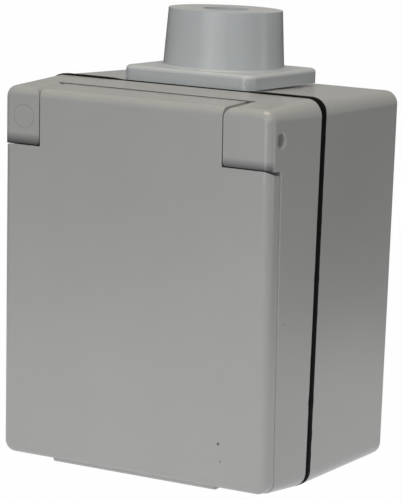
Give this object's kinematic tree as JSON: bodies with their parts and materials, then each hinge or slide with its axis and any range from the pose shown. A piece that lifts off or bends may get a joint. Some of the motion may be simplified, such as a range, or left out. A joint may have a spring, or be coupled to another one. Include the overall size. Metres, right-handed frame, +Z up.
{
  "type": "wall socket",
  "caption": "Surface-mounted splash-proof wall socket: grey box with gasket, spring-closed hinged lid over a plug recess, and a tapered cable nozzle on top.",
  "frame": {"origin": "middle of the back face of the back box, which lies on the wall", "axes": "+X to the right seen from the front, +Y into the wall, +Z up; the lid faces -Y"},
  "size_m": [0.0806, 0.0675, 0.1173],
  "materials": {
    "housing_grey": "fine moulded, slightly glossy",
    "entry_grey": "soft moulded, slightly glossy",
    "seal_black": "matt",
    "cup_grey": "moulded",
    "carrier_cream": "moulded",
    "steel": "zinc plated",
    "brass": "bright"
  },
  "bodies": {
    "housing": {"rear_box": "housing_grey", "front_housing": "housing_grey", "cable_entry": "entry_grey", "housing_seal": "seal_black", "cup_seal": "seal_black", "housing_screw_seals": "seal_black", "socket_cup": "cup_grey", "contact_carrier": "carrier_cream", "hinge_pin": "steel", "lid_spring": "steel", "cup_screw": "steel", "insert_screws": "steel", "housing_screws": "steel", "contact_spring_left": "steel", "contact_spring_right": "steel", "terminal_screws": "steel", "earth_screw": "steel", "earth_clamp": "steel", "contact_left": "brass", "contact_right": "brass", "earth_bracket": "brass"},
    "lid": {"lid": "housing_grey", "lid_seal": "seal_black"}
  },
  "joints": [
    {"name": "lid_hinge", "type": "hinge", "parent": "housing", "child": "lid", "pos_m": [0, -0.06256, 0.04045], "axis": [-1, 0, 0], "range_deg": [0, 115], "stiffness_Nm_per_rad": 0.02, "springref_deg": -57.3, "deforming": ["lid_spring"]}
  ]
}
